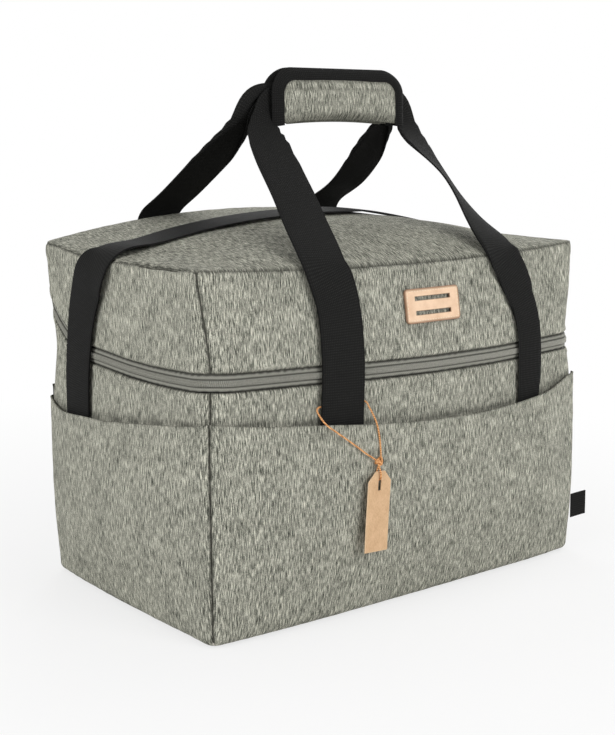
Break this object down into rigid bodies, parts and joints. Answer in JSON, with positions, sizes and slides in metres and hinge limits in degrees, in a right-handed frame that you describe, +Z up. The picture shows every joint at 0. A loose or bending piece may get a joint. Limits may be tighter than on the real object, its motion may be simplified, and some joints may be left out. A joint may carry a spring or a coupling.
{
  "type": "soft cooler bag",
  "caption": "Insulated melange cooler bag: zipped hinged lid, outside pockets, webbing carry handles in a padded wrap, shoulder strap, leather lash tab and swing tag.",
  "frame": {"origin": "centre of the flat base, on the surface the bag stands on", "axes": "+Z up, X along the bag's length, -Y out of the front with the lash tab"},
  "size_m": [0.4851, 0.3393, 0.491],
  "materials": {
    "melange": "warm grey melange polyester, matt",
    "webbing": "black woven webbing, matt",
    "foam": "closed cell foam, matt",
    "foil": "aluminised film on cloth, soft sheen",
    "board": "stiff base board, matt",
    "zip_tape": "woven zip tape, matt",
    "zip_coil": "nylon coil, matt",
    "leather": "vegetable tanned leather, satin",
    "card": "kraft card, matt",
    "twine": "waxed twine, matt",
    "metal": "black painted zinc, satin"
  },
  "bodies": {
    "bag": {"front_panel": "melange", "back_panel": "melange", "left_panel": "melange", "right_panel": "melange", "bottom_panel": "melange", "lid_hinge_fold": "melange", "front_pocket": "melange", "back_pocket": "melange", "left_pocket": "melange", "right_pocket": "melange", "insulation_front": "foam", "insulation_back": "foam", "insulation_left": "foam", "insulation_right": "foam", "insulation_base": "foam", "base_board": "board", "body_liner": "foil", "zip_coil_lower": "zip_coil", "zip_tape_lower": "zip_tape", "front_handle_anchor_left": "webbing", "front_handle_anchor_right": "webbing", "back_handle_anchor_left": "webbing", "back_handle_anchor_right": "webbing", "shoulder_strap_left_end": "webbing", "shoulder_strap_right_end": "webbing", "side_label": "webbing"},
    "lid": {"lid_top_panel": "melange", "lid_front_gusset": "melange", "lid_back_gusset": "melange", "lid_left_gusset": "melange", "lid_right_gusset": "melange", "lid_insulation_top": "foam", "lid_insulation_front": "foam", "lid_insulation_back": "foam", "lid_insulation_left": "foam", "lid_insulation_right": "foam", "lid_liner": "foil", "zip_coil_upper": "zip_coil", "zip_tape_upper": "zip_tape", "shoulder_strap_over_lid": "webbing", "lash_tab": "leather"},
    "front_handle": {"front_handle_webbing": "webbing"},
    "back_handle": {"back_handle_webbing": "webbing", "grip_wrap": "melange"},
    "wrap_flap": {"grip_flap": "melange", "grip_binding": "webbing", "grip_hook_strip": "webbing"},
    "front_slider": {"zip_slider_front": "metal"},
    "back_slider": {"zip_slider_back": "metal"},
    "front_pull": {"pull_tab_front": "metal"},
    "back_pull": {"pull_tab_back": "metal"},
    "tag": {"tag_twine": "twine", "tag_knot": "twine", "swing_tag": "card"},
    "adjuster": {"strap_adjuster": "metal"}
  },
  "joints": [
    {"name": "lid_hinge", "type": "hinge", "parent": "bag", "child": "lid", "pos_m": [0, 0.1382, 0.278], "axis": [-1, 0, 0], "range_deg": [0, 105]},
    {"name": "front_handle_fold", "type": "hinge", "parent": "bag", "child": "front_handle", "pos_m": [0, -0.15958, 0.194], "axis": [1, 0, 0], "range_deg": [0, 135]},
    {"name": "back_handle_fold", "type": "hinge", "parent": "bag", "child": "back_handle", "pos_m": [0, 0.15202, 0.194], "axis": [-1, 0, 0], "range_deg": [0, 135]},
    {"name": "wrap_flap_hinge", "type": "hinge", "parent": "back_handle", "child": "wrap_flap", "pos_m": [0.026, -0.0139, 0.437], "axis": [1, 0, 0], "range_deg": [0, 100]},
    {"name": "front_slider_slide", "type": "slide", "parent": "bag", "child": "front_slider", "axis": [0, -1, 0], "range_m": [0, 0.06]},
    {"name": "back_slider_slide", "type": "slide", "parent": "bag", "child": "back_slider", "axis": [0, 1, 0], "range_m": [0, 0.085]},
    {"name": "front_pull_hinge", "type": "hinge", "parent": "front_slider", "child": "front_pull", "pos_m": [0.2315, -0.054, 0.23], "axis": [0, -1, 0], "range_deg": [0, 150]},
    {"name": "back_pull_hinge", "type": "hinge", "parent": "back_slider", "child": "back_pull", "pos_m": [0.2315, -0.0417, 0.23], "axis": [0, -1, 0], "range_deg": [0, 150]},
    {"name": "tag_swing", "type": "hinge", "parent": "bag", "child": "tag", "pos_m": [-0.095, -0.1575, 0.197], "axis": [-1, 0, 0], "range_deg": [0, 70]},
    {"name": "adjuster_slide", "type": "slide", "parent": "lid", "child": "adjuster", "axis": [0.045, -0.1036, 0.9936], "range_m": [0, 0.035]}
  ],
  "couplings": [
    {"joint": "front_handle_fold", "follows": "lid_hinge", "ratio": 1.2857},
    {"joint": "back_handle_fold", "follows": "lid_hinge", "ratio": 1.2857}
  ]
}
